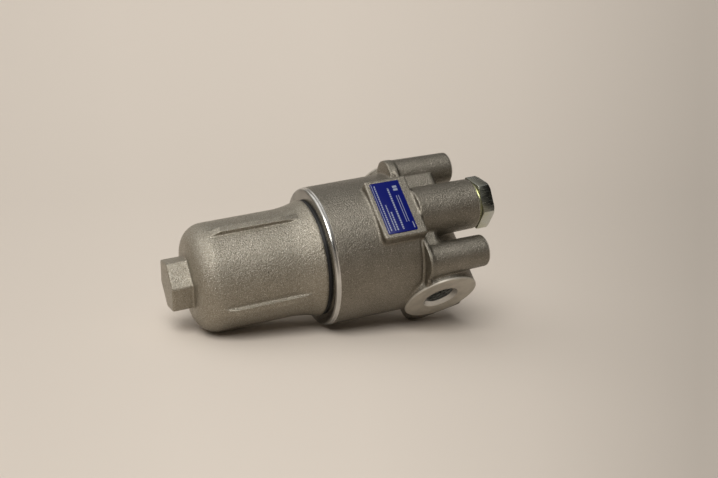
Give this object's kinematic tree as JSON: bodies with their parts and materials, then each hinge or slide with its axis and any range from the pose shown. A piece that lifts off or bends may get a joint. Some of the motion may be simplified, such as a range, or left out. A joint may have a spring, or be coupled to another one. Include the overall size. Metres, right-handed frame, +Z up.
{
  "type": "inline pressure filter",
  "caption": "Inline hydraulic pressure filter: ported die-cast head with mounting bosses and plugged indicator port, and a ribbed screw-on bowl with a hexagon, lying on its side.",
  "frame": {"origin": "bottom centre of the box round the whole filter, lying on its side as pictured with its axis level", "axes": "+X along the filter's axis from the bowl's hexagon to the indicator port, +Z up, the label and the front port towards -Y"},
  "size_m": [0.2078, 0.1104, 0.111],
  "materials": {
    "cast_aluminium": "shot-blasted die casting, fine grain",
    "label_film": "blue printed label",
    "zinc_plated_steel": "zinc plated, passivated",
    "black_rubber": "matte moulded seal",
    "white_plastic": "plain seal backing ring",
    "turned_steel": "turned",
    "element_plastic": "moulded element end",
    "element_mesh": "woven outer support",
    "filter_paper": "pleated medium",
    "spring_steel": "drawn wire"
  },
  "bodies": {
    "head": {"head_casting": "cast_aluminium", "label_plate": "label_film", "indicator_port_plug": "zinc_plated_steel", "plug_washer": "zinc_plated_steel", "plug_washer_seal": "black_rubber", "element_spigot": "turned_steel", "element_top_cap": "element_plastic", "element_o_ring": "black_rubber", "element_bottom_cap": "element_plastic", "element_core": "turned_steel", "element_wrap": "element_mesh", "element_pleats": "filter_paper", "bypass_seat": "turned_steel", "bypass_cage": "turned_steel", "bypass_retaining_ring": "turned_steel", "bypass_spring": "spring_steel"},
    "dust_ring": {"bowl_dust_ring": "black_rubber"},
    "bowl": {"bowl": "cast_aluminium", "bowl_o_ring": "black_rubber", "bowl_backup_ring": "white_plastic"},
    "bypass_poppet": {"bypass_poppet": "turned_steel"}
  },
  "joints": [
    {"name": "bowl_travel", "type": "slide", "parent": "head", "child": "dust_ring", "axis": [-1, 0, 0], "range_m": [0, 0.016]},
    {"name": "bowl_turn", "type": "hinge", "parent": "dust_ring", "child": "bowl", "pos_m": [-0.0507, -0.00135, 0.05688], "axis": [-1, 0, 0], "range_deg": [0, 2880]},
    {"name": "bypass_lift", "type": "slide", "parent": "head", "child": "bypass_poppet", "axis": [0, 0.6756, 0.7373], "range_m": [0, 0.003], "stiffness_N_per_m": 3000, "springref_m": -0.012, "deforming": ["bypass_spring"]}
  ],
  "couplings": [
    {"joint": "bowl_travel", "follows": "bowl_turn", "m_per_rad": 0.00031831}
  ]
}
